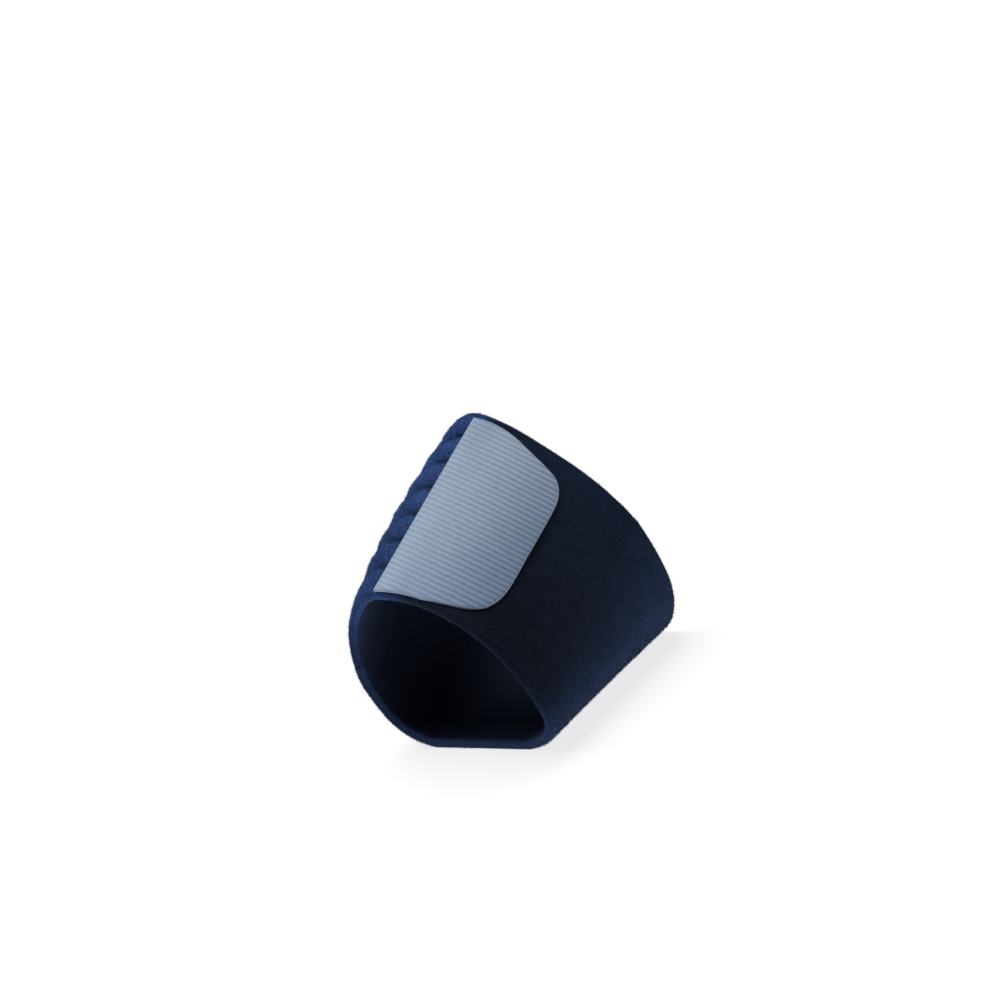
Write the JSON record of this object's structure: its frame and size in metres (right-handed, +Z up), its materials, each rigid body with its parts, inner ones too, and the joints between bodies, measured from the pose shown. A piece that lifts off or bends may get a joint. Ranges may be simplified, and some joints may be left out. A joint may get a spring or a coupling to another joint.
{
  "type": "metatarsal support bandage",
  "caption": "Soft plush cuff that wraps the middle of the foot, open at toe and heel, flat under the sole, with a quilted panel on the outer side and a ribbed closing tab on top.",
  "frame": {"origin": "middle of the bounding box on the surface that the sole rests on", "axes": "+Z up from the sole to the instep, -Y towards the toes, +X towards the inner side of a right foot"},
  "size_m": [0.0876, 0.0868, 0.0727],
  "materials": {
    "plush": "matte plush pile",
    "quilt": "matte plush pile, stitched in channels",
    "tab": "satin ribbed weave"
  },
  "bodies": {
    "root": {"plush_band": "plush", "quilted_panel": "quilt", "closure_tab": "tab"}
  },
  "joints": []
}
